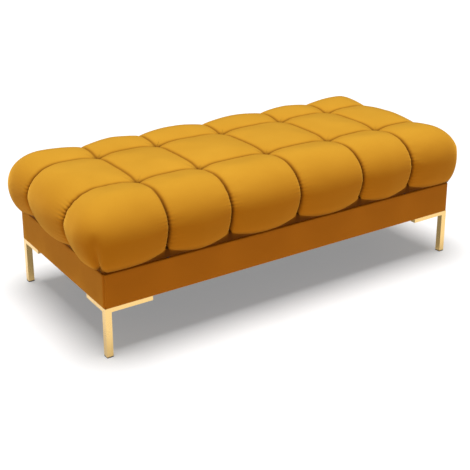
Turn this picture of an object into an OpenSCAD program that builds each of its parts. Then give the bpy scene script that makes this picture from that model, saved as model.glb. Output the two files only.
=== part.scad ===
// Upholstered storage ottoman: a shallow upholstered box on four metal corner
// legs, closed by a tufted seat that is hinged along the back long edge.
// Frame: X along the long side, Y towards the back, Z up.
// Origin: on the floor, under the centre of the box.

/* [Base box] */
// Length of the upholstered box, over its fabric
base_l = 1220; // [900:5:1500]
// Depth of the upholstered box, over its fabric
base_d = 555; // [450:5:700]
// Height of the upholstered box
base_h = 96; // [84:1:180]
// Thickness of the padded fabric on the outer faces of the box
cover_t = 3; // [2:0.5:6]
// Thickness of the fabric folded over the rails' top and bottom edges
trim_t = 1.5; // [1:0.1:2.5]
// Radius of the box's vertical corners
base_corner_r = 12; // [6:1:20]
// Thickness of the wooden rails
rail_t = 18; // [15:1:25]

/* [Box floor] */
// Thickness of the panel that things are stored on
floor_t = 6; // [4:1:12]
// Height and width of the cleats that carry the floor panel
cleat_s = 12; // [10:1:20]
// Length of the two short sides of each corner gusset
gusset_l = 90; // [50:5:120]
// Width of the crossbar under the middle of the floor panel
crossbar_w = 60; // [30:5:100]
// Thickness of the lining inside the box
lining_t = 1; // [0.6:0.1:2]
// Thickness of the dust cover under the box
dust_t = 1.2; // [0.8:0.1:1.5]

/* [Legs] */
// Height from the floor to the underside of the box
leg_h = 140; // [90:1:200]
// Outer width of the square leg tube
tube_w = 18; // [16:1:30]
// Wall of the leg tube
tube_wall = 1.5; // [1:0.1:2.5]
// Reach of the arm under the long side, from the leg's outer face
arm_long = 138; // [100:1:200]
// Reach of the arm under the short side, from the leg's outer face
arm_short = 110; // [80:1:160]
// Thickness of both arms
arm_t = 12; // [8:1:15]
// Height of the plastic glide below the tube
glide_h = 3; // [2:0.5:6]
// Depth that the glide's plug reaches into the tube
glide_plug = 12; // [6:1:20]

/* [Seat] */
// Reach of the seat past each short end of the box
seat_over_l = 40; // [26:1:90]
// Reach of the seat past the front and the back of the box
seat_over_d = 24; // [24:1:80]
// Height of the seat, from the lid's underside to its crown
seat_h = 183; // [150:1:260]
// Radius of the seat's upper edge
crown_r = 80; // [50:1:85]
// Radius of the seat's lower edge
tuck_r = 24; // [15:1:26]
// Thickness of the seat's velvet
velvet_t = 2; // [1:0.5:4]
// Thickness of the lid board
board_t = 15; // [12:1:22]
// Gap between the board's edge and the box's outer face
board_inset = 2; // [0:0.5:6]
// Width of the velvet band stapled under the board's edge
hem_w = 35; // [20:1:60]
// Thickness of the wadding between the foam and the tufts
tuft_pad = 29.5; // [10:0.5:50]
// Distance from the board's edge to the foam's edge
foam_inset = 6; // [0:1:20]

/* [Tufting] */
// Distance from the middle tuft to the next one along the seat
tuft_mid = 230; // [150:1:260]
// Distance from that tuft to the outer one
tuft_outer = 195; // [120:1:220]
// Distance of each tuft row from the seat's long centre line
tuft_row = 121; // [80:1:160]
// Depth of the tufts below the seat's crown
tuft_drop = 33; // [25:1:60]
// Radius of the tufting twine
twine_r = 1; // [0.6:0.1:2]
// Radius of the anchor washers under the board
anchor_r = 9; // [6:0.5:14]
// Thickness of the anchor washers
anchor_t = 2.5; // [1:0.5:4]

/* [Hinges] */
// Distance from the middle hinge to each outer one
hinge_pitch = 420; // [250:5:520]
// Length of each hinge
hinge_l = 70; // [50:1:100]
// Thickness of the hinge leaves
leaf_t = 1.5; // [1:0.1:2]
// Clear gap between the box's top and the lid's underside
lid_gap = 4; // [3.5:0.1:6]
// Outer radius of the hinge knuckles
knuckle_r = 4.5; // [3.5:0.1:6]
// Radius of the hinge pin
hinge_pin_r = 2; // [1.5:0.1:2.5]
// Number of knuckles on a hinge, an odd number
knuckles = 5; // [3:2:9]

/* [Lid stays] */
// Distance between the two pins of a stay arm
stay_arm_l = 150; // [120:1:160]
// Tilt of the slot below the lid's underside, in degrees
slot_tilt = 7; // [6:0.5:9]
// Angle between the slot and the line from hinge to arm pivot, lid closed
stay_rest = 14; // [12:0.5:16]
// Angle that the lid opens to, in degrees
lid_open = 65; // [45:1:66]
// Width of the stay arm
stay_w = 14; // [12:1:16]
// Thickness of the stay arm
stay_t = 2.5; // [2:0.1:4]
// Thickness of the stay's bracket and slotted plate
plate_t = 2; // [1.5:0.1:3]
// Radius of the arm's pivot rivet
pivot_r = 4; // [3:0.1:4.5]
// Radius of the pin that runs in the slot
slider_r = 3; // [2.5:0.1:3.5]
// Width of the slotted plate's fixing flange
flange_w = 20; // [16:1:30]

/* [Small parts] */
// Radius of the rubber bumpers that the lid closes on
bumper_r = 8; // [5:0.5:9]
// Shank radius of the wood screws
screw_r = 2; // [1.5:0.1:2.5]
// Head radius of the wood screws
screw_head_r = 3.8; // [3:0.1:4.5]

/* [Fits] */
// Radial clearance of pins and screws in their holes
fit = 0.05; // [0.02:0.01:0.1]
// Clearance of the slider pin in its slot, each side
slot_fit = 0.2; // [0.1:0.05:0.4]
// Clearance between parts that pass each other
gap = 0.5; // [0.3:0.1:1]

/* [Hidden] */

$fn = 48;
soft_fn = 32;
over = 1;

velvet = [0.78, 0.55, 0.16];
gold = [0.86, 0.69, 0.36];
timber = [0.80, 0.66, 0.46];
ply = [0.74, 0.60, 0.41];
black_cloth = [0.12, 0.12, 0.13];
foam_yellow = [0.93, 0.88, 0.70];
wadding_white = [0.93, 0.93, 0.91];
zinc = [0.72, 0.73, 0.75];
black_plastic = [0.08, 0.08, 0.09];

// Levels, from the floor up
base_top = leg_h + base_h;
frame_bottom = leg_h + trim_t;
frame_top = base_top - trim_t;
floor_z = frame_bottom + cleat_s;
lining_z = floor_z + floor_t;
lid_under = base_top + lid_gap;
board_z = lid_under + trim_t;
foam_z = board_z + board_t;
seat_top = lid_under + seat_h;
tuft_z = seat_top - tuft_drop;
foam_h = tuft_z - tuft_pad - foam_z;

// Plan sizes
frame_l = base_l - 2 * cover_t;
frame_d = base_d - 2 * cover_t;
inner_l = frame_l - 2 * rail_t;
inner_d = frame_d - 2 * rail_t;
frame_corner_r = base_corner_r - cover_t;
board_l = base_l - 2 * board_inset;
board_d = base_d - 2 * board_inset;
seat_l = base_l + 2 * seat_over_l;
seat_d = base_d + 2 * seat_over_d;
foam_corner_r = 30;
lining_l = board_l - 2 * hem_w;
lining_d = board_d - 2 * hem_w;

// Hinge line, just behind the box's back face
hinge_y = base_d / 2 + gap + knuckle_r;
hinge_z = base_top + lid_gap / 2;
hinge_xs = [-hinge_pitch, 0, hinge_pitch];
knuckle_l = hinge_l / knuckles;
leaf_back = hinge_y - knuckle_r - gap;
leaf_front = frame_d / 2 - rail_t;
hinge_screw_y = frame_d / 2 - rail_t / 2;
hinge_screw_x = hinge_l / 2 - 12;
pin_head_r = 3.2;
pin_head_t = 1.2;

// Lid stay. The arm is as long as the distance from the hinge line to its
// pivot, so it turns at exactly twice the lid's rate and its pin runs along a
// straight slot that points at the hinge line.
pivot_angle = slot_tilt + stay_rest;
pivot_y = hinge_y - stay_arm_l * cos(pivot_angle);
pivot_z = hinge_z - stay_arm_l * sin(pivot_angle);
slot_far = 2 * stay_arm_l * cos(stay_rest);
slot_near = 2 * stay_arm_l * cos(stay_rest + lid_open);
slider_y = hinge_y - slot_far * cos(slot_tilt);
slider_z = hinge_z - slot_far * sin(slot_tilt);
arm_rise = 2 * stay_rest - pivot_angle;
slot_margin = 6;
bracket_x = inner_l / 2 - lining_t - plate_t;
arm_x = bracket_x - gap - stay_t;
rivet_head_t = 2;
rivet_x = arm_x - gap - rivet_head_t;
plate_x = rivet_x - gap - plate_t;
slider_head_r = 5.5;
slider_head_t = 2;
slider_x = plate_x - gap - slider_head_t;
bracket_w = 52;
bracket_h = 26;
bracket_low = 15;
bracket_screw_dy = 19;
bracket_screw_dz = -9;
flange_screw_x = plate_x + plate_t - flange_w * 0.6;

// Screws
screw_head_h = 1.4;
head_clear = 6;
frame_screw_l = 50;
leg_screw_l = 40;
hinge_base_screw_l = 20;
hinge_lid_screw_l = 13;
stay_screw_l = 16;
frame_screw_zs = [0.5, 0.82];
// The frame screws' heads sit below the face, where the corner's curve begins
corner_bite = max(0, frame_corner_r - rail_t / 2 + screw_head_r);
frame_screw_sink = frame_corner_r - sqrt(pow(frame_corner_r, 2) - pow(corner_bite, 2)) + 2 * fit;
leg_screw_long = [0.36, 0.84];
leg_screw_short = [0.38, 0.84];
stay_screw_at = [0.12, 0.5, 0.88];

// Tufts
tuft_xs = [-tuft_mid - tuft_outer, -tuft_mid, 0, tuft_mid, tuft_mid + tuft_outer];
tuft_ys = [-tuft_row, tuft_row];
knot_r = 5;
knot_t = 2;

// ---------- shared shapes ----------

module rounded_outline(l, d, r) {
  square([l - 2 * r, d], center = true);
  square([l, d - 2 * r], center = true);
  for (sx = [-1, 1], sy = [-1, 1])
    translate([sx * (l / 2 - r), sy * (d / 2 - r)]) circle(r = r);
}

module rounded_plate(l, d, h, r) {
  linear_extrude(height = h) rounded_outline(l, d, r);
}

module plain_plate(l, d, h) {
  translate([-l / 2, -d / 2, 0]) cube([l, d, h]);
}

// A countersunk wood screw, head up at the origin, pointing down.
// grow makes the matching hole.
module screw(l, grow = 0) {
  translate([0, 0, -screw_head_h])
    cylinder(h = screw_head_h, r1 = screw_r + grow, r2 = screw_head_r + grow);
  translate([0, 0, -l - grow]) cylinder(h = l + grow - screw_head_h, r = screw_r + grow);
  if (grow > 0) cylinder(h = head_clear, r = screw_head_r + grow);
}

// Puts its children on one side: the geometry is written for the right side.
module on_side(side) {
  if (side > 0) children();
  else mirror([1, 0, 0]) children();
}

// A short cylinder along X from x to x + h.
module rod_x(x, y, z, h, r) {
  translate([x, y, z]) rotate([0, 90, 0]) cylinder(h = h, r = r);
}

// ---------- screw groups, also used as holes ----------

module frame_screw_group(grow = 0) {
  screw_y = frame_d / 2 - frame_screw_sink;
  for (sx = [-1, 1], sy = [-1, 1], k = frame_screw_zs)
    translate([sx * (frame_l - rail_t) / 2, sy * screw_y, frame_bottom + k * (frame_top - frame_bottom)])
      rotate([-sy * 90, 0, 0]) screw(frame_screw_l, grow);
}

module leg_screw_group(grow = 0) {
  leg_in = tube_w / 2;
  for (sx = [-1, 1], sy = [-1, 1]) {
    for (k = leg_screw_long)
      translate([sx * (frame_l / 2 - k * arm_long), sy * (frame_d / 2 - leg_in), leg_h - arm_t])
        rotate([180, 0, 0]) screw(leg_screw_l, grow);
    for (k = leg_screw_short)
      translate([sx * (frame_l / 2 - leg_in), sy * (frame_d / 2 - k * arm_short), leg_h - arm_t])
        rotate([180, 0, 0]) screw(leg_screw_l, grow);
  }
}

module hinge_base_screw_group(grow = 0) {
  for (x = hinge_xs, s = [-1, 1])
    translate([x + s * hinge_screw_x, hinge_screw_y, base_top + leaf_t]) screw(hinge_base_screw_l, grow);
}

module hinge_lid_screw_group(grow = 0) {
  for (x = hinge_xs, s = [-1, 1])
    translate([x + s * hinge_screw_x, hinge_screw_y, lid_under - leaf_t])
      rotate([180, 0, 0]) screw(hinge_lid_screw_l, grow);
}

module stay_base_screw_group(grow = 0) {
  for (side = [-1, 1], s = [-1, 1])
    on_side(side)
      translate([bracket_x, pivot_y + s * bracket_screw_dy, pivot_z + bracket_screw_dz])
        rotate([0, -90, 0]) screw(stay_screw_l, grow);
}

module stay_lid_screw_group(grow = 0) {
  for (side = [-1, 1], k = stay_screw_at)
    on_side(side)
      translate([flange_screw_x, hinge_y - slot_near - k * (slot_far - slot_near), lid_under - plate_t])
        rotate([180, 0, 0]) screw(hinge_lid_screw_l, grow);
}

// ---------- base box ----------

// Whatever part of the ring of rails lies in the box that its children give.
module rail() {
  color(timber) difference() {
    intersection() {
      translate([0, 0, frame_bottom])
        rounded_plate(frame_l, frame_d, frame_top - frame_bottom, frame_corner_r);
      children();
    }
    frame_screw_group(fit);
    leg_screw_group(fit);
    hinge_base_screw_group(fit);
    stay_base_screw_group(fit);
  }
}

module long_rail(side) {
  rail()
    translate([-frame_l, side > 0 ? inner_d / 2 : -frame_d / 2, 0]) cube([2 * frame_l, rail_t, base_top]);
}

module short_rail(side) {
  rail()
    translate([side > 0 ? inner_l / 2 : -frame_l / 2, -inner_d / 2, 0]) cube([rail_t, inner_d, base_top]);
}

module frame_screws() {
  color(zinc) frame_screw_group();
}

module gusset(sx, sy) {
  color(ply)
    translate([sx * inner_l / 2, sy * inner_d / 2, frame_bottom])
      linear_extrude(height = cleat_s)
        polygon([[0, 0], [-sx * gusset_l, 0], [0, -sy * gusset_l]]);
}

module long_cleat(side) {
  color(timber)
    translate([0, side * (inner_d - cleat_s) / 2, frame_bottom])
      plain_plate(inner_l - 2 * gusset_l, cleat_s, cleat_s);
}

module short_cleat(side) {
  color(timber)
    translate([side * (inner_l - cleat_s) / 2, 0, frame_bottom])
      plain_plate(cleat_s, inner_d - 2 * gusset_l, cleat_s);
}

module floor_crossbar() {
  color(timber) translate([0, 0, frame_bottom]) plain_plate(crossbar_w, inner_d - 2 * cleat_s, cleat_s);
}

module floor_panel() {
  color(ply) translate([0, 0, floor_z]) plain_plate(inner_l, inner_d, floor_t);
}

module storage_lining() {
  color(black_cloth) difference() {
    translate([0, 0, lining_z]) plain_plate(inner_l, inner_d, frame_top - lining_z);
    translate([0, 0, lining_z + lining_t])
      plain_plate(inner_l - 2 * lining_t, inner_d - 2 * lining_t, base_h);
    stay_base_screw_group(fit);
  }
}

module dust_cover() {
  color(black_cloth) translate([0, 0, frame_bottom - dust_t]) plain_plate(inner_l, inner_d, dust_t);
}

// Velvet with a thin pad: round the box and folded over its edges.
module base_cover() {
  color(velvet) difference() {
    translate([0, 0, leg_h]) rounded_plate(base_l, base_d, base_h, base_corner_r);
    translate([0, 0, frame_bottom])
      rounded_plate(frame_l, frame_d, frame_top - frame_bottom, frame_corner_r);
    translate([0, 0, leg_h - over]) plain_plate(inner_l, inner_d, base_h + 2 * over);
    leg_screw_group(fit);
    hinge_base_screw_group(fit);
  }
}

// ---------- legs ----------

// One leg with its two welded arms, written for the front left corner.
module leg_shape() {
  difference() {
    union() {
      translate([0, 0, glide_h]) cube([tube_w, tube_w, leg_h - glide_h]);
      translate([0, 0, leg_h - arm_t]) cube([arm_long, tube_w, arm_t]);
      translate([0, 0, leg_h - arm_t]) cube([tube_w, arm_short, arm_t]);
    }
    translate([tube_wall, tube_wall, glide_h - over])
      cube([tube_w - 2 * tube_wall, tube_w - 2 * tube_wall, leg_h - arm_t - glide_h + over]);
  }
}

module leg(sx, sy) {
  color(gold) difference() {
    translate([sx * frame_l / 2, sy * frame_d / 2, 0])
      mirror([sx > 0 ? 1 : 0, 0, 0])
        mirror([0, sy > 0 ? 1 : 0, 0])
          leg_shape();
    leg_screw_group(fit);
  }
}

module glide(sx, sy) {
  plug_w = tube_w - 2 * tube_wall;
  color(black_plastic)
    translate([sx * (frame_l - tube_w) / 2, sy * (frame_d - tube_w) / 2, 0]) {
      plain_plate(tube_w, tube_w, glide_h);
      plain_plate(plug_w, plug_w, glide_h + glide_plug);
    }
}

module leg_screws() {
  color(zinc) leg_screw_group();
}

module lid_bumpers() {
  bumper_h = lid_gap - 0.3;
  color(black_plastic) {
    for (s = [-1, 1]) {
      translate([s * hinge_pitch, -(frame_d - rail_t) / 2, base_top]) cylinder(h = bumper_h, r = bumper_r);
      translate([s * (frame_l - rail_t) / 2, -tuft_row, base_top]) cylinder(h = bumper_h, r = bumper_r);
    }
  }
}

// ---------- hinges ----------

// Knuckles number first, first + 2, ... of a hinge, each with its pin hole.
module knuckle_row(first, tab_z) {
  for (k = [first : 2 : knuckles - 1]) {
    x0 = -hinge_l / 2 + k * knuckle_l + fit;
    rod_x(x0, hinge_y, hinge_z, knuckle_l - 2 * fit, knuckle_r);
    translate([x0, leaf_back - over, tab_z]) cube([knuckle_l - 2 * fit, hinge_y - leaf_back + over, leaf_t]);
  }
}

module pin_hole() {
  rod_x(-hinge_l, hinge_y, hinge_z, 2 * hinge_l, hinge_pin_r + fit);
}

module leaf_plate(z) {
  translate([-hinge_l / 2, leaf_front, z]) cube([hinge_l, leaf_back - leaf_front, leaf_t]);
}

module base_leaf(x) {
  color(zinc) difference() {
    translate([x, 0, 0]) difference() {
      union() {
        leaf_plate(base_top);
        knuckle_row(0, base_top);
      }
      pin_hole();
    }
    hinge_base_screw_group(fit);
  }
}

module lid_leaf(x) {
  color(zinc) difference() {
    translate([x, 0, 0]) difference() {
      union() {
        leaf_plate(lid_under - leaf_t);
        knuckle_row(1, lid_under - leaf_t);
      }
      pin_hole();
    }
    hinge_lid_screw_group(fit);
  }
}

module hinge_pin(x) {
  color(zinc) translate([x, 0, 0]) {
    rod_x(-hinge_l / 2 - pin_head_t, hinge_y, hinge_z, hinge_l + 2 * pin_head_t, hinge_pin_r);
    for (s = [-1, 1])
      rod_x(s > 0 ? hinge_l / 2 : -hinge_l / 2 - pin_head_t, hinge_y, hinge_z, pin_head_t, pin_head_r);
  }
}

module hinge_screws_base() {
  color(zinc) hinge_base_screw_group();
}

module hinge_screws_lid() {
  color(zinc) hinge_lid_screw_group();
}

// ---------- lid stays ----------

module stay_bracket(side) {
  color(zinc) difference() {
    on_side(side) difference() {
      translate([bracket_x, pivot_y - bracket_w / 2, pivot_z - bracket_low])
        cube([plate_t, bracket_w, bracket_h]);
      rod_x(bracket_x - over, pivot_y, pivot_z, plate_t + 2 * over, pivot_r + fit);
    }
    stay_base_screw_group(fit);
  }
}

module stay_rivet(side) {
  color(zinc) on_side(side) {
    rod_x(rivet_x, pivot_y, pivot_z, bracket_x + plate_t - rivet_x, pivot_r);
    rod_x(rivet_x, pivot_y, pivot_z, rivet_head_t, pivot_r + 3);
  }
}

module stay_arm(side) {
  color(zinc) on_side(side) difference() {
    union() {
      translate([arm_x, pivot_y, pivot_z])
        rotate([180 - arm_rise, 0, 0])
          translate([0, 0, -stay_w / 2])
            cube([stay_t, stay_arm_l, stay_w]);
      rod_x(arm_x, pivot_y, pivot_z, stay_t, stay_w / 2);
      rod_x(arm_x, slider_y, slider_z, stay_t, stay_w / 2);
    }
    rod_x(arm_x - over, pivot_y, pivot_z, stay_t + 2 * over, pivot_r + fit);
    rod_x(arm_x - over, slider_y, slider_z, stay_t + 2 * over, slider_r + fit);
  }
}

module stay_slider(side) {
  color(black_plastic) on_side(side) {
    rod_x(slider_x, slider_y, slider_z, arm_x + stay_t - slider_x, slider_r);
    rod_x(slider_x, slider_y, slider_z, slider_head_t, slider_head_r);
  }
}

// A plate on edge under the lid, with a slot that points at the hinge line.
module stay_plate(side) {
  from = slot_near - slider_r - slot_margin;
  to = slot_far + slider_r + slot_margin;
  drop = slider_r + slot_margin;
  slot_r = slider_r + slot_fit;
  color(zinc) difference() {
    on_side(side) difference() {
      union() {
        intersection() {
          translate([plate_x, hinge_y, hinge_z])
            rotate([slot_tilt, 0, 0])
              translate([0, -to, -drop])
                cube([plate_t, to - from, stay_arm_l]);
          translate([plate_x - over, hinge_y - 2 * to, 0]) cube([plate_t + 2 * over, 2 * to, lid_under]);
        }
        translate([plate_x + plate_t - flange_w, hinge_y - to * cos(slot_tilt), lid_under - plate_t])
          cube([flange_w, (to - from) * cos(slot_tilt), plate_t]);
      }
      translate([plate_x - over, hinge_y, hinge_z])
        rotate([slot_tilt, 0, 0]) {
          translate([0, -slot_far, -slot_r])
            cube([plate_t + 2 * over, slot_far - slot_near, 2 * slot_r]);
          for (s = [slot_near, slot_far])
            translate([0, -s, 0]) rotate([0, 90, 0]) cylinder(h = plate_t + 2 * over, r = slot_r);
        }
    }
    stay_lid_screw_group(fit);
  }
}

module stay_screws_base() {
  color(zinc) stay_base_screw_group();
}

module stay_screws_lid() {
  color(zinc) stay_lid_screw_group();
}

// ---------- lid and seat ----------

module at_tufts() {
  for (x = tuft_xs, y = tuft_ys)
    translate([x, y, 0]) children();
}

module board_blank(h) {
  translate([0, 0, board_z]) rounded_plate(board_l, board_d, h, base_corner_r);
}

// The seat's soft outline, shrunk by inset all round.
module seat_form(inset) {
  hull() {
    for (sx = [-1, 1], sy = [-1, 1]) {
      translate([sx * (seat_l / 2 - crown_r), sy * (seat_d / 2 - crown_r), seat_top - crown_r])
        sphere(r = crown_r - inset, $fn = soft_fn);
      translate([sx * (seat_l / 2 - tuck_r), sy * (seat_d / 2 - tuck_r), lid_under + tuck_r])
        sphere(r = tuck_r - inset, $fn = soft_fn);
    }
  }
}

module foam_blank() {
  translate([0, 0, foam_z])
    rounded_plate(board_l - 2 * foam_inset, board_d - 2 * foam_inset, foam_h, foam_corner_r);
}

module lid_board() {
  color(ply) difference() {
    board_blank(board_t);
    at_tufts() {
      translate([0, 0, board_z - over]) cylinder(h = board_t + 2 * over, r = twine_r + gap);
      translate([0, 0, board_z - over]) cylinder(h = over + anchor_t + fit, r = anchor_r + gap);
    }
    hinge_lid_screw_group(fit);
    stay_lid_screw_group(fit);
  }
}

module lid_lining() {
  color(black_cloth) difference() {
    translate([0, 0, lid_under]) plain_plate(lining_l, lining_d, trim_t);
    stay_lid_screw_group(fit);
  }
}

module seat_foam() {
  color(foam_yellow) difference() {
    foam_blank();
    at_tufts() translate([0, 0, foam_z - over]) cylinder(h = foam_h + 2 * over, r = twine_r + gap);
  }
}

// Room for the hinge knuckles in the seat's lower back edge.
module hinge_recess() {
  reach = hinge_l / 2 + pin_head_t + over;
  for (x = hinge_xs)
    rod_x(x - reach, hinge_y, hinge_z, 2 * reach, knuckle_r + 2 * over);
}

module seat_wadding() {
  color(wadding_white) difference() {
    seat_form(velvet_t);
    board_blank(board_t);
    foam_blank();
    hinge_recess();
    at_tufts() {
      translate([0, 0, foam_z]) cylinder(h = tuft_z - foam_z, r = twine_r + gap);
      translate([0, 0, tuft_z - knot_t - gap]) cylinder(h = knot_t + 2 * gap, r = knot_r + gap);
    }
  }
}

module seat_cover() {
  color(velvet) difference() {
    seat_form(0);
    seat_form(velvet_t);
    board_blank(board_t);
    translate([0, 0, lid_under - over]) plain_plate(lining_l, lining_d, trim_t + over);
    hinge_recess();
    hinge_lid_screw_group(fit);
  }
}

module tuft_twines() {
  color(black_cloth) at_tufts() {
    translate([0, 0, board_z + anchor_t]) cylinder(h = tuft_z - board_z - anchor_t, r = twine_r);
    translate([0, 0, tuft_z - knot_t]) cylinder(h = knot_t, r = knot_r);
  }
}

module tuft_anchors() {
  color(black_plastic) at_tufts() translate([0, 0, board_z]) cylinder(h = anchor_t, r = anchor_r);
}

// ---------- assembly ----------

long_rail(-1);  // front_rail
long_rail(1);  // back_rail
short_rail(-1);  // left_rail
short_rail(1);  // right_rail
frame_screws();
gusset(-1, -1);  // gusset_front_left
gusset(1, -1);  // gusset_front_right
gusset(-1, 1);  // gusset_back_left
gusset(1, 1);  // gusset_back_right
long_cleat(-1);  // front_cleat
long_cleat(1);  // back_cleat
short_cleat(-1);  // left_cleat
short_cleat(1);  // right_cleat
floor_crossbar();
floor_panel();
storage_lining();
dust_cover();
base_cover();
leg(-1, -1);  // leg_front_left
leg(1, -1);  // leg_front_right
leg(-1, 1);  // leg_back_left
leg(1, 1);  // leg_back_right
leg_screws();
glide(-1, -1);  // glide_front_left
glide(1, -1);  // glide_front_right
glide(-1, 1);  // glide_back_left
glide(1, 1);  // glide_back_right
lid_bumpers();
base_leaf(hinge_xs[0]);  // hinge_left_base_leaf
base_leaf(hinge_xs[1]);  // hinge_mid_base_leaf
base_leaf(hinge_xs[2]);  // hinge_right_base_leaf
lid_leaf(hinge_xs[0]);  // hinge_left_lid_leaf
lid_leaf(hinge_xs[1]);  // hinge_mid_lid_leaf
lid_leaf(hinge_xs[2]);  // hinge_right_lid_leaf
hinge_pin(hinge_xs[0]);  // hinge_left_pin
hinge_pin(hinge_xs[1]);  // hinge_mid_pin
hinge_pin(hinge_xs[2]);  // hinge_right_pin
hinge_screws_base();
hinge_screws_lid();
stay_bracket(-1);  // stay_left_bracket
stay_bracket(1);  // stay_right_bracket
stay_rivet(-1);  // stay_left_rivet
stay_rivet(1);  // stay_right_rivet
stay_arm(-1);  // stay_left_arm
stay_arm(1);  // stay_right_arm
stay_slider(-1);  // stay_left_slider
stay_slider(1);  // stay_right_slider
stay_plate(-1);  // stay_left_plate
stay_plate(1);  // stay_right_plate
stay_screws_base();
stay_screws_lid();
lid_board();
lid_lining();
seat_foam();
seat_wadding();
seat_cover();
tuft_twines();
tuft_anchors();
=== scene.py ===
"""A tufted velvet storage ottoman: the looks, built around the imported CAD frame."""
import math

import bmesh
import bpy
import numpy as np
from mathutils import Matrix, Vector, noise


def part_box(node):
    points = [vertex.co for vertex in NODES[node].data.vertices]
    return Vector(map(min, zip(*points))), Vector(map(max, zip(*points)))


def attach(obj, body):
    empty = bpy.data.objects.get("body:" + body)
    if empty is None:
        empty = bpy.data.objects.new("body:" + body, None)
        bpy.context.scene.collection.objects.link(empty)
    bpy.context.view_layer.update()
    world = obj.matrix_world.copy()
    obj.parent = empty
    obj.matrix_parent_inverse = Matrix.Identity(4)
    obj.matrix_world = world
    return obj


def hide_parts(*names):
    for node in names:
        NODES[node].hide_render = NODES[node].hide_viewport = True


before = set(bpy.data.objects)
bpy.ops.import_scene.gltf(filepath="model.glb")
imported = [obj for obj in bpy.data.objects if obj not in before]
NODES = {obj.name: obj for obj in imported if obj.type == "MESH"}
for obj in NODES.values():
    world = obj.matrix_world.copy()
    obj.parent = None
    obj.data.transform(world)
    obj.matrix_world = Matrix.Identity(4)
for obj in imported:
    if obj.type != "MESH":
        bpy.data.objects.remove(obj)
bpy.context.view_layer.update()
SEED = 7

# ---------- the view and the studio ----------

AZIMUTH, ELEVATION = math.radians(-33.80), math.radians(17.76)
CAMERA_AT = (-1.5015, -2.2010, 1.2497)
LENS = 70.81
SHIFT_Y = -0.1915
AMBIENT = 0.17
KEY_TOWARDS, KEY_STRENGTH, KEY_SPREAD = (0.02, -0.02, -1), 4.35, 36
FLOOR_HALF, FLOOR_GREY, FLOOR_GLOW = 30, 0.58, 0.25


def add_object(name, data):
    made = bpy.data.objects.new(name, data)
    bpy.context.scene.collection.objects.link(made)
    return made


def aim(thing, direction):
    thing.rotation_mode = "QUATERNION"
    thing.rotation_quaternion = Vector(direction).to_track_quat("-Z", "Y")


def make_camera():
    data = bpy.data.cameras.new("camera")
    data.sensor_width, data.lens, data.shift_y = 36, LENS, SHIFT_Y
    camera = add_object("camera", data)
    back = Vector((math.sin(AZIMUTH) * math.cos(ELEVATION),
                   -math.cos(AZIMUTH) * math.cos(ELEVATION), math.sin(ELEVATION)))
    camera.location = CAMERA_AT
    aim(camera, -back)
    bpy.context.scene.camera = camera


def make_key():
    data = bpy.data.lights.new("key", "SUN")
    data.energy, data.angle = KEY_STRENGTH, math.radians(KEY_SPREAD)
    aim(add_object("key", data), KEY_TOWARDS)


def make_studio():
    world = bpy.data.worlds.new("studio")
    world.use_nodes = True
    background = world.node_tree.nodes["Background"]
    background.inputs["Color"].default_value = (1, 1, 1, 1)
    background.inputs["Strength"].default_value = AMBIENT
    bpy.context.scene.world = world
    bpy.context.scene.view_settings.view_transform = "Standard"
    make_key()
    mesh = bpy.data.meshes.new("floor")
    h = FLOOR_HALF
    mesh.from_pydata([(-h, -h, 0), (h, -h, 0), (h, h, 0), (-h, h, 0)], [], [(0, 1, 2, 3)])
    floor = add_object("floor", mesh)
    floor.data.materials.append(material("floor_white", (FLOOR_GREY,) * 3, roughness=0.9,
                                         Emission_Color=(1, 1, 1, 1), Emission_Strength=FLOOR_GLOW))


# ---------- materials ----------

# Painted shade: creases, tufts, the cloth tucked in at the bottom and the hem turn towards this dark colour
# and lose most of their sheen.
PAINTED_CREASE_SHADE = (0.07, 0.015, 0.001)
PAINTED_SHADE_MOST = 0.9               # the most that a crease takes of its painted shade
SHEEN, SHEEN_IN_PAINTED_SHADE = 0.85, 0.08
SHEEN_TINT = (1.0, 0.58, 0.08, 1)


def material(name, colour, roughness=0.5, metallic=0.0, **sockets):
    """A Principled material with its constants set on the shader's own sockets."""
    made = bpy.data.materials.new(name)
    made.use_nodes = True
    shader = made.node_tree.nodes["Principled BSDF"]
    shader.inputs["Base Color"].default_value = (*colour, 1)
    shader.inputs["Roughness"].default_value = roughness
    shader.inputs["Metallic"].default_value = metallic
    for key, value in sockets.items():
        shader.inputs[key.replace("_", " ")].default_value = value
    return made


def add_noise(made, scale, detail=2.0, stretch=(1, 1, 1)):
    """A noise texture in the piece's own coordinates."""
    tree = made.node_tree
    place = tree.nodes.new("ShaderNodeTexCoord")
    mapping = tree.nodes.new("ShaderNodeMapping")
    mapping.inputs["Scale"].default_value = stretch
    texture = tree.nodes.new("ShaderNodeTexNoise")
    texture.inputs["Scale"].default_value = scale
    texture.inputs["Detail"].default_value = detail
    tree.links.new(place.outputs["Object"], mapping.inputs["Vector"])
    tree.links.new(mapping.outputs["Vector"], texture.inputs["Vector"])
    return texture.outputs["Fac"]


def add_wave(made, scale, direction, distortion=0.0, detail=2.0):
    """Bands across one axis of the piece's own coordinates."""
    tree = made.node_tree
    place = tree.nodes.new("ShaderNodeTexCoord")
    texture = tree.nodes.new("ShaderNodeTexWave")
    texture.bands_direction = direction
    texture.inputs["Scale"].default_value = scale
    texture.inputs["Distortion"].default_value = distortion
    texture.inputs["Detail"].default_value = detail
    tree.links.new(place.outputs["Object"], texture.inputs["Vector"])
    return texture.outputs["Fac"]


def add_ramp(made, factor, stops, socket="Base Color"):
    """A ramp over factor, linked to one of the shader's sockets."""
    tree = made.node_tree
    ramp = tree.nodes.new("ShaderNodeValToRGB")
    for k, (place, colour) in enumerate(stops):
        element = ramp.color_ramp.elements[k] if k < 2 else ramp.color_ramp.elements.new(place)
        element.position, element.color = place, (*colour, 1)
    tree.links.new(factor, ramp.inputs["Fac"])
    tree.links.new(ramp.outputs["Color"], tree.nodes["Principled BSDF"].inputs[socket])


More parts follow.
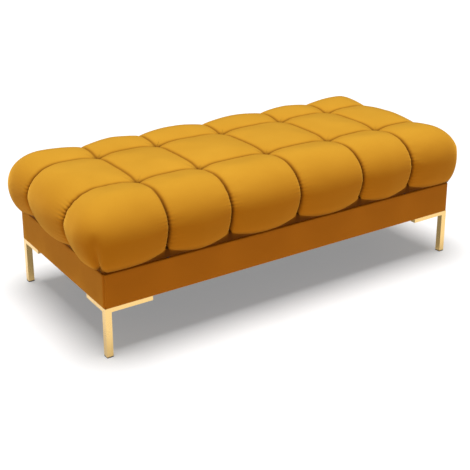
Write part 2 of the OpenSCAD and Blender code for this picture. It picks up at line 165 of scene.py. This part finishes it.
def add_bump(made, height, distance, strength=1.0):
    tree = made.node_tree
    shader = tree.nodes["Principled BSDF"]
    bump = tree.nodes.new("ShaderNodeBump")
    bump.inputs["Distance"].default_value = distance
    bump.inputs["Strength"].default_value = strength
    if shader.inputs["Normal"].is_linked:
        tree.links.new(shader.inputs["Normal"].links[0].from_socket, bump.inputs["Normal"])
    tree.links.new(height, bump.inputs["Height"])
    tree.links.new(bump.outputs["Normal"], shader.inputs["Normal"])


def add_gathers(made):
    """Small puckers across the seams, where the mesh's own attributes put them."""
    tree = made.node_tree
    along, amount, sine, height = (tree.nodes.new(kind) for kind in (
        "ShaderNodeAttribute", "ShaderNodeAttribute", "ShaderNodeMath", "ShaderNodeMath"))
    along.attribute_name, amount.attribute_name = "gather_phase", "gather"
    sine.operation, height.operation = "SINE", "MULTIPLY"
    tree.links.new(along.outputs["Fac"], sine.inputs[0])
    tree.links.new(sine.outputs["Value"], height.inputs[0])
    tree.links.new(amount.outputs["Fac"], height.inputs[1])
    return height.outputs["Value"]


def mix_colour(made, factor, colour):
    """Turns the base colour towards another one where factor is high."""
    tree = made.node_tree
    base = tree.nodes["Principled BSDF"].inputs["Base Color"]
    mix = tree.nodes.new("ShaderNodeMix")
    mix.data_type = "RGBA"
    tree.links.new(base.links[0].from_socket, mix.inputs["A"])
    mix.inputs["B"].default_value = (*colour, 1)
    tree.links.new(factor, mix.inputs["Factor"])
    tree.links.new(mix.outputs["Result"], base)


def upright(made):
    """How upright a face is in the piece's own coordinates: 0 for a top, 1 for a side."""
    tree = made.node_tree
    place, split, turn = (tree.nodes.new(kind) for kind in (
        "ShaderNodeTexCoord", "ShaderNodeSeparateXYZ", "ShaderNodeMath"))
    turn.operation, turn.use_clamp = "SUBTRACT", True
    turn.inputs[0].default_value = 1.0
    tree.links.new(place.outputs["Normal"], split.inputs["Vector"])
    tree.links.new(split.outputs["Z"], turn.inputs[1])
    return turn.outputs["Value"]


def painted_shade_mark(made):
    """The mesh's own mark for painted shade in the seams, the tufts and the cloth tucked in at the bottom."""
    mark = made.node_tree.nodes.new("ShaderNodeAttribute")
    mark.attribute_name = "crease"
    return mark.outputs["Fac"]


def velvet_material(name, low, high, painted_side_shade):
    """Velvet from low to high, with painted shade on upright faces and darker painted shade without sheen in
    its creases.
    """
    made = material(name, high, roughness=0.85, Sheen_Roughness=0.42, Sheen_Tint=SHEEN_TINT,
                    Specular_IOR_Level=0.04)
    add_ramp(made, add_noise(made, 7, 4), [(0.25, low), (0.75, high)])
    # Painted shade: upright faces turn towards a darker colour, standing in for the sides being less lit than
    # the top.
    mix_colour(made, upright(made), painted_side_shade)
    # Painted shade in the creases: a darker colour and less sheen where the crease mark is high.
    mix_colour(made, painted_shade_mark(made), PAINTED_CREASE_SHADE)
    add_ramp(made, painted_shade_mark(made), [(0.0, (SHEEN,) * 3), (PAINTED_SHADE_MOST, (SHEEN_IN_PAINTED_SHADE,) * 3)],
             "Sheen Weight")
    add_bump(made, add_noise(made, 420, 3), 0.0005, 0.5)
    add_bump(made, add_noise(made, 38, 3), 0.0010, 0.3)
    add_bump(made, add_gathers(made), 0.0026, 0.75)
    return made


def metal_material(name, colour, roughness, brushed):
    made = material(name, colour, roughness=roughness, metallic=1.0)
    low, high = roughness * 0.75, roughness * 1.5
    add_ramp(made, add_noise(made, 45, 4), [(0.3, (low,) * 3), (0.7, (high,) * 3)], "Roughness")
    add_bump(made, add_noise(made, 90, 2, brushed), 0.00005, 0.2)
    return made


def wood_material(name, light, dark, direction, scale):
    made = material(name, light, roughness=0.62)
    add_ramp(made, add_wave(made, scale, direction, 9, 4), [(0.1, dark), (0.8, light)])
    add_bump(made, add_noise(made, 160, 4), 0.0004, 0.5)
    return made


def cloth_material(name, low, high, threads):
    made = material(name, high, roughness=0.9, Sheen_Weight=0.25, Sheen_Roughness=0.5)
    add_ramp(made, add_noise(made, 30, 4), [(0.3, low), (0.7, high)])
    add_bump(made, add_wave(made, threads, "X"), 0.0003, 0.6)
    add_bump(made, add_wave(made, threads, "Y"), 0.0003, 0.6)
    return made


def moulded_material(name, low, high, roughness, grain=240):
    made = material(name, high, roughness=roughness)
    add_ramp(made, add_noise(made, 25, 3), [(0.3, low), (0.7, high)])
    add_bump(made, add_noise(made, grain, 3), 0.0002, 0.4)
    return made


def make_materials():
    return {
        # The third colour of each velvet is the painted shade of its upright faces.
        "velvet": velvet_material("velvet", (0.50, 0.243, 0.018), (0.56, 0.280, 0.023), (0.45, 0.142, 0.004)),
        # The base's velvet is a darker copy of the seat's fabric: painted shade.
        "base_velvet": velvet_material("velvet_base_painted_shade", (0.43, 0.130, 0.005), (0.50, 0.158, 0.007),
                                       (0.45, 0.128, 0.005)),
        "gold": metal_material("gold_metal", (0.87, 0.60, 0.24), 0.2, (1, 1, 6)),
        "zinc": metal_material("zinc_steel", (0.62, 0.63, 0.65), 0.32, (6, 1, 1)),
        "timber": wood_material("timber", (0.62, 0.44, 0.26), (0.45, 0.28, 0.14), "Y", 9),
        "plywood": wood_material("plywood", (0.66, 0.50, 0.32), (0.52, 0.36, 0.20), "Y", 4),
        "cloth": cloth_material("black_cloth", (0.008, 0.008, 0.009), (0.022, 0.022, 0.025), 220),
        "foam": moulded_material("foam", (0.72, 0.62, 0.36), (0.82, 0.73, 0.48), 0.95, 500),
        "plastic": moulded_material("black_plastic", (0.012, 0.012, 0.013), (0.02, 0.02, 0.022), 0.45),
        "rubber": moulded_material("bumper_rubber", (0.02, 0.02, 0.02), (0.035, 0.035, 0.035), 0.8),
    }


# The first key that a node's name begins or ends with gives its material.
FINISHES = (
    ("leg_screws", "zinc"), ("leg_", "gold"), ("glide_", "plastic"), ("_slider", "plastic"),
    ("tuft_anchors", "plastic"), ("lid_bumpers", "rubber"), ("_screws", "zinc"), ("hinge_", "zinc"),
    ("stay_", "zinc"), ("_rail", "timber"), ("_cleat", "timber"), ("floor_crossbar", "timber"),
    ("gusset_", "plywood"), ("floor_panel", "plywood"), ("lid_board", "plywood"), ("_lining", "cloth"),
    ("dust_cover", "cloth"), ("tuft_twines", "cloth"), ("seat_foam", "foam"),
    ("base_cover", "velvet"), ("seat_", "velvet"),
)
BEVELS = {"gold": 0.0010, "zinc": 0.0004, "plastic": 0.0004, "rubber": 0.0006, "timber": 0.0008,
          "plywood": 0.0006}


def dress_nodes(looks):
    for name, node in NODES.items():
        finish = next(f for key, f in FINISHES if name.startswith(key) or name.endswith(key))
        node.data.materials.clear()
        node.data.materials.append(looks[finish])
        if finish in BEVELS:
            bevel = node.modifiers.new("bevel", "BEVEL")
            bevel.width, bevel.segments, bevel.limit_method = BEVELS[finish], 2, "ANGLE"
            bevel.harden_normals = True


# ---------- helpers for cloth shapes ----------

def clusters(node, axis, gap=0.03):
    """The centres of a grouped node's solids along one axis."""
    places = sorted(v.co[axis] for v in NODES[node].data.vertices)
    groups = [[places[0]]]
    for place in places[1:]:
        if place - groups[-1][-1] > gap:
            groups.append([])
        groups[-1].append(place)
    return [(g[0] + g[-1]) / 2 for g in groups]


def wobble(points, scale, seed):
    """Smooth noise at each point, from about -1 to 1."""
    shift = Vector((seed * 3.1, seed * 7.7, seed * 1.3))
    values = [noise.noise(Vector(p) * scale + shift) for p in points.reshape(-1, 3)]
    return np.array(values).reshape(points.shape[:-1])


def share(x, length):
    """0 up to 0, 1 from length on, and straight in between."""
    return np.clip(x / length, 0, 1)


def bell(x, width):
    return np.exp(-(x / width) ** 2)


def smooth_mesh(name, bm, made, body, replaced):
    """A padded velvet piece from a finished bmesh."""
    bmesh.ops.recalc_face_normals(bm, faces=bm.faces)
    mesh = bpy.data.meshes.new(name)
    bm.to_mesh(mesh)
    bm.free()
    mesh.shade_smooth()
    piece = add_object(name, mesh)
    mesh.materials.append(made)
    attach(piece, body)
    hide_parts(*replaced)


def bridge(bm, row_a, row_b):
    """Quads between two closed rings of the same length."""
    n = len(row_a)
    for k in range(n):
        m = (k + 1) % n
        bm.faces.new((row_a[k], row_b[k], row_b[m], row_a[m]))


# ---------- the seat ----------

TUFT_XS, TUFT_YS = clusters("tuft_anchors", 0), clusters("tuft_anchors", 1)
SEAT_LO, SEAT_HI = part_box("seat_cover")
BOARD_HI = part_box("lid_board")[1]
TUFT_DEPTH = SEAT_HI.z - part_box("tuft_twines")[1].z

# The outline. rho runs from 0 on the flat crown, down the side, to 1 at the board.
EDGE_R = 0.115          # how far the seat's rounded edge reaches in from its side
SIDE_MID = 0.322        # height of the seat's widest line
SIDE_LEN = 0.255        # length of cloth from the crown's edge down to the board
RHO_MID = 0.62          # rho at the widest line
PROUD = 0.007           # how far the puffs stand out past the plain solid
SQUARE = 3.6            # how square the seat's corners are at the board: 2 is a circle
SQUARE_MID = 2.9        # how square they are at the widest line and above
ROUND = 0.95            # power of the side's curves: 1 is an ellipse
TUCK_ROUND = 1.25       # power of the curve down to the board
CROWN_X, CROWN_Y = (SEAT_HI[k] + PROUD - EDGE_R for k in (0, 1))

# The grid of the cloth.
GRID = 0.0054           # usual distance between two points
CROWDING = 0.72         # how strongly the points crowd towards the seams: 0 is evenly

# The seams, tufts and folds.
DOME = 0.115            # how far from a seam a puff keeps rising
CREASE = 0.0042         # how far from a seam its sharp crease reaches
PUFF_RISE = 0.0120      # how far a puff's middle stands over its seams
PUFF_RISE_LOW = 0.0085  # what is added to that near the board
CUT = 0.0065            # depth of a seam's sharp crease
CUT_SIDE, CUT_LOW = 0.0050, 0.006      # what is added to that on the side, and near the board
TUFT_ABOVE = 0.018      # the part of a tuft's depth that its seams already have
TUFT_WIDE, TUFT_WIDE_R, TUFT_SHARP_R = 0.4, 0.036, 0.010    # share of the wide dimple, and both radii
CORNER, CORNER_W = 0.011, 0.032        # depth and width of the soft valley down each corner
FOLD, FOLD_LEN, FOLD_REACH = 0.0011, 0.036, 0.026           # height, spacing and reach of the folds
LUMP, SMALL_LUMP = 0.0020, 0.0006      # height of the cloth's unevenness
GATHER_LEN, GATHER_REACH = 0.012, 0.015     # spacing and reach of the puckers in the material

# The hem under the board, as rings: how far in, corner radius, how far up.
HEM = 0.033
HEM_RINGS = ((0.003, 0.010, 0.0), (HEM * 0.5, 0.008, 0.0003), (HEM, 0.006, 0.0006))
# Painted shade on the hem under the board, as a share of the crease mark.
HEM_PAINTED_SHADE = 0.3
BOARD_R = 0.012         # radius of the board's corners
BOARD_CLEAR = 0.0022    # how far the cloth keeps off the board's edge
BOARD_NEAR = 0.010      # how far above the board it still does


def spaced(breaks, step):
    """Places from break to break, closer together near each break."""
    out = [breaks[0]]
    for a, b in zip(breaks, breaks[1:]):
        n = max(4, round((b - a) / step))
        for k in range(1, n + 1):
            s = k / n
            out.append(a + (b - a) * (s - CROWDING * math.sin(2 * math.pi * s) / (2 * math.pi)))
    return np.array(out)


def seat_base(u, v):
    """The seat's smooth outline over the flat cloth.

    Returns the places, rho, how far down the side u and v lie on their own, and which way it faces.
    """
    p, q = share(np.abs(u) - CROWN_X, SIDE_LEN), share(np.abs(v) - CROWN_Y, SIDE_LEN)
    rho = np.maximum(p, q)
    up, down = share(rho, RHO_MID), share(rho - RHO_MID, 1 - RHO_MID)
    square = SQUARE_MID + (SQUARE - SQUARE_MID) * down
    size = np.maximum((p ** square + q ** square) ** (1 / square), 1e-9)
    cx, cy = p / size, q / size
    tuck = np.maximum(cx * (SEAT_HI.x - BOARD_HI.x), cy * (SEAT_HI.y - BOARD_HI.y)) + PROUD
    up, down = up * math.pi / 2, down * math.pi / 2
    out = EDGE_R * np.sin(up) - tuck * (1 - np.cos(down) ** ROUND)
    rise = (SEAT_HI.z - SIDE_MID) * np.cos(up) ** ROUND
    fall = (SIDE_MID - SEAT_LO.z) * np.sin(down) ** TUCK_ROUND
    x = np.sign(u) * (np.minimum(np.abs(u), CROWN_X) + out * cx)
    y = np.sign(v) * (np.minimum(np.abs(v), CROWN_Y) + out * cy)
    return np.stack([x, y, SIDE_MID + rise - fall], -1), rho, p, q, cx, cy


def grid_normals(points):
    n = np.cross(np.gradient(points, axis=0), np.gradient(points, axis=1))
    return n / np.maximum(np.linalg.norm(n, axis=-1, keepdims=True), 1e-12)


def nearest(places, lines):
    return np.min(np.abs(places[..., None] - np.array(lines)), axis=-1)


def valley(d, wide, sharp):
    """Depth at a distance from a seam: a puff's long curve and the seam's own crease."""
    return wide * np.clip(1 - d / DOME, 0, 1) ** 2 + sharp * np.exp(-d / CREASE)


def seam_depth(u, v, dx, dy, rho, p, q):
    """Depth of the seams both ways and of the corners, blended where they meet."""
    side, low = share(rho, 0.35), share(rho - 0.6, 0.35)
    wide, sharp = PUFF_RISE + PUFF_RISE_LOW * low, CUT + CUT_SIDE * side + CUT_LOW * low
    deep_x = valley(dx, wide, sharp) * (np.abs(u) < max(TUFT_XS) + DOME)
    deep_y = valley(dy, wide, sharp) * (np.abs(v) < max(TUFT_YS) + DOME)
    off_corner = np.where((p > 0) & (q > 0), np.abs(p - q) * SIDE_LEN, 1.0)
    corner = CORNER * bell(off_corner, CORNER_W) * share(rho - 0.5, 0.25)
    return (deep_x ** 3 + deep_y ** 3 + corner ** 3) ** (1 / 3)


def tuft_depth(r):
    wide, sharp = bell(r, TUFT_WIDE_R), np.exp(-r / TUFT_SHARP_R)
    return (TUFT_DEPTH - TUFT_ABOVE) * (TUFT_WIDE * wide + (1 - TUFT_WIDE) * sharp)


def fold_height(base, along, seam, side):
    """Folds that run across the seams and die out into the puffs."""
    wave = np.sin(along * 2 * math.pi / FOLD_LEN + 5 * wobble(base, 12, SEED + 4))
    amount = (0.35 + 0.65 * side) * (0.5 + wobble(base, 8, SEED + 5))
    return FOLD * wave * np.exp(-seam / FOLD_REACH) * amount


def seat_marks(base, dx, dy, r, along, seam, rho):
    """What the velvet reads from the mesh: the puckers, their phase, and the painted shade of the creases and
    of the cloth tucked in at the bottom.
    """
    gather = np.exp(-seam / GATHER_REACH) * share(rho - 0.25, 0.25) * share(0.95 - rho, 0.2)
    gather = gather * np.where(dy < dx, 0.9, 0.35) * np.clip(0.7 + wobble(base, 11, SEED + 3), 0, 1)
    gather += 0.3 * np.exp(-r / 0.014)
    phase = along * 2 * math.pi / GATHER_LEN + 2.5 * wobble(base, 30, SEED + 2)
    # Painted shade at the seams and tufts, stronger down the sides, and a painted shadow where the cloth
    # tucks in above the base.
    crease = 0.8 * bell(seam, 0.0045) + 0.8 * bell(r, 0.013)
    crease = crease * (0.6 + 0.4 * share(rho, 0.35)) + 0.85 * share(rho - 0.86, 0.12)
    return {"gather": gather, "gather_phase": phase, "crease": np.clip(crease, 0, PAINTED_SHADE_MOST)}


def keep_off_board(points, cx, cy):
    """Moves the cloth beside the board out to its edge."""
    x, y, z = points[..., 0], points[..., 1], points[..., 2]
    ox, oy = np.abs(x) - (BOARD_HI.x - BOARD_R), np.abs(y) - (BOARD_HI.y - BOARD_R)
    low = z < BOARD_HI.z + BOARD_NEAR
    reach = np.hypot(np.maximum(ox, 0), np.maximum(oy, 0))
    need = BOARD_R + BOARD_CLEAR
    in_corner = low & (ox > 0) & (oy > 0) & (reach < need)
    grow = np.where(in_corner, need / np.maximum(reach, 1e-6), 1)
    ox, oy = np.where(in_corner, ox * grow, ox), np.where(in_corner, oy * grow, oy)
    ox = np.where(low & ~in_corner & (cx > cy) & (ox < need), need, ox)
    oy = np.where(low & ~in_corner & (cy >= cx) & (oy < need), need, oy)
    side = (cx + cy) > 0
    points[..., 0] = np.where(side & low, np.sign(x) * (ox + BOARD_HI.x - BOARD_R), x)
    points[..., 1] = np.where(side & low, np.sign(y) * (oy + BOARD_HI.y - BOARD_R), y)
    return points


def seat_points():
    """The grid's two rows of places, its points, which way they face, and their marks."""
    us = spaced([-CROWN_X - SIDE_LEN, *TUFT_XS, CROWN_X + SIDE_LEN], GRID)
    vs = spaced([-CROWN_Y - SIDE_LEN, *TUFT_YS, CROWN_Y + SIDE_LEN], GRID)
    u, v = np.meshgrid(us, vs, indexing="ij")
    base, rho, p, q, cx, cy = seat_base(u, v)
    dx, dy = nearest(u, TUFT_XS), nearest(v, TUFT_YS)
    r, seam, along = np.hypot(dx, dy), np.minimum(dx, dy), np.where(dx < dy, v, u)
    end = share(1 - rho, 0.05)
    depth = seam_depth(u, v, dx, dy, rho, p, q) + tuft_depth(r)
    depth = depth * end * end * (3 - 2 * end)
    depth = depth + fold_height(base, along, seam, share(rho, 0.35)) * end
    lumps = LUMP * wobble(base, 6, SEED) + SMALL_LUMP * wobble(base, 22, SEED + 1)
    depth = depth + lumps * share(1 - rho, 0.3)
    points = base - grid_normals(base) * depth[..., None]
    return us, vs, keep_off_board(points, cx, cy), cx, cy, seat_marks(base, dx, dy, r, along, seam, rho)


def build_seat(velvet):
    us, vs, points, cx, cy, marks = seat_points()
    nu, nv = len(us), len(vs)
    bm = bmesh.new()
    layers = [(bm.verts.layers.float.new(key), values) for key, values in marks.items()]
    # tucked holds the crease mark, the painted shade, which is also set on the hem.
    tucked = bm.verts.layers.float["crease"]
    grid = [[bm.verts.new(points[i, j]) for j in range(nv)] for i in range(nu)]
    for layer, values in layers:
        for i, j in np.ndindex(nu, nv):
            grid[i][j][layer] = values[i, j]
    for i in range(nu - 1):
        for j in range(nv - 1):
            bm.faces.new((grid[i][j], grid[i + 1][j], grid[i + 1][j + 1], grid[i][j + 1]))
    ring = ([(i, 0) for i in range(nu)] + [(nu - 1, j) for j in range(1, nv)]
            + [(i, nv - 1) for i in range(nu - 2, -1, -1)] + [(0, j) for j in range(nv - 2, 0, -1)])
    rows = [[grid[i][j] for i, j in ring]]
    for inset, radius, lift in HEM_RINGS:
        ex, ey = BOARD_HI.x - inset - radius, BOARD_HI.y - inset - radius
        row = []
        for i, j in ring:
            x = math.copysign(min(abs(us[i]), CROWN_X) / CROWN_X * ex + radius * cx[i, j], us[i])
            y = math.copysign(min(abs(vs[j]), CROWN_Y) / CROWN_Y * ey + radius * cy[i, j], vs[j])
            row.append(bm.verts.new((x, y, SEAT_LO.z + lift)))
            row[-1][tucked] = HEM_PAINTED_SHADE
        rows.append(row)
        bridge(bm, rows[-2], rows[-1])
    bm.faces.new(rows[-1])
    smooth_mesh("seat_cushion", bm, velvet, "lid", ("seat_cover", "seat_wadding"))


# ---------- the cover of the box ----------

COVER_LO, COVER_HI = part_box("base_cover")
COVER_CORNER_R = 0.012
COVER_FLANGE = 0.021    # width of the fabric folded over the rails
COVER_EDGE_R = 0.004
COVER_TURN = 0.0014     # how far the fold's own edge turns towards the rail
COVER_INNER = 0.0025    # how far in the cloth's inner face lies on the side
COVER_INNER_Z = 0.0018  # and how far from the fold above and below
COVER_STEP = 0.009
CORNER_STEPS, EDGE_STEPS, SIDE_STEPS = 12, 6, 9
COVER_SEAM, COVER_SEAM_W = 0.0026, 0.0017     # depth and width of the seam down each corner
COVER_SLACK = 0.0006    # how far the cloth lies inside the plain solid
COVER_UNEVEN = ((0.0005, 9), (0.0003, 30))    # height and scale of its unevenness


def cover_path():
    """Round the box: which corner, the angle there, and the share of the straight run before it."""
    steps = []
    runs = (COVER_HI.x * 2, COVER_HI.y * 2)
    for corner in range(4):
        for k in range(CORNER_STEPS + 1):
            steps.append((corner, math.pi / 2 * (corner + k / CORNER_STEPS), None))
        n = round(runs[corner % 2] / COVER_STEP)
        steps += [(corner, math.pi / 2 * (corner + 1), k / n) for k in range(1, n)]
    return steps


def cover_point(step, inset, z):
    """A point of the path, moved in from the box's outer face."""
    corner, angle, run = step
    radius = max(COVER_CORNER_R - inset, 0.0006)
    hx, hy = COVER_HI.x - inset - radius, COVER_HI.y - inset - radius
    centres = [(hx, hy), (-hx, hy), (-hx, -hy), (hx, -hy)]
    x, y = centres[corner]
    if run is not None:
        nx, ny = centres[(corner + 1) % 4]
        x, y = x + (nx - x) * run, y + (ny - y) * run
    return Vector((x + radius * math.cos(angle), y + radius * math.sin(angle), z))


def cover_fold(edge, towards):
    """Half of the profile: the fold over a rail and the rounded edge, as inset and height."""
    fold = [(COVER_FLANGE, edge + towards * COVER_TURN), (COVER_FLANGE, edge), (COVER_FLANGE / 2, edge)]
    for k in range(EDGE_STEPS + 1):
        a = math.pi / 2 * k / EDGE_STEPS
        fold.append((COVER_EDGE_R * (1 - math.sin(a)),
                     edge + towards * COVER_EDGE_R * (1 - math.cos(a))))
    return fold


def cover_profile():
    low, high = COVER_LO.z, COVER_HI.z
    side = high - low - 2 * COVER_EDGE_R
    middle = [(0, low + COVER_EDGE_R + side * k / SIDE_STEPS) for k in range(1, SIDE_STEPS)]
    return cover_fold(low, 1) + middle + cover_fold(high, -1)[::-1]


def cover_move(step, place, inset):
    """How far the cloth lies in at a place: the corner's seam, the slack and the unevenness."""
    seam = 0.0
    if step[2] is None:
        off = (step[1] / (math.pi / 2) - step[0] - 0.5) * COVER_CORNER_R * math.pi / 2
        seam = COVER_SEAM * math.exp(-(off / COVER_SEAM_W) ** 2)
    uneven = sum(height * noise.noise(place * scale) for height, scale in COVER_UNEVEN)
    return (seam + COVER_SLACK + uneven) * max(0.0, 1 - inset / COVER_EDGE_R)


def build_base_cover(velvet):
    path = cover_path()
    bm = bmesh.new()
    rows = []
    for inset, z in cover_profile():
        row = []
        for step in path:
            place = cover_point(step, inset, z)
            out = Vector((math.cos(step[1]), math.sin(step[1]), 0))
            row.append(bm.verts.new(place - out * cover_move(step, place, inset)))
        rows.append(row)
    for z in (COVER_HI.z - COVER_INNER_Z, COVER_LO.z + COVER_INNER_Z):
        rows.append([bm.verts.new(cover_point(step, COVER_INNER, z)) for step in path])
    for a, b in zip(rows, rows[1:] + rows[:1]):
        bridge(bm, a, b)
    smooth_mesh("base_velvet", bm, velvet, "base", ("base_cover",))


# ---------- the object ----------

make_camera()
make_studio()
LOOKS = make_materials()
dress_nodes(LOOKS)
build_seat(LOOKS["velvet"])
build_base_cover(LOOKS["base_velvet"])
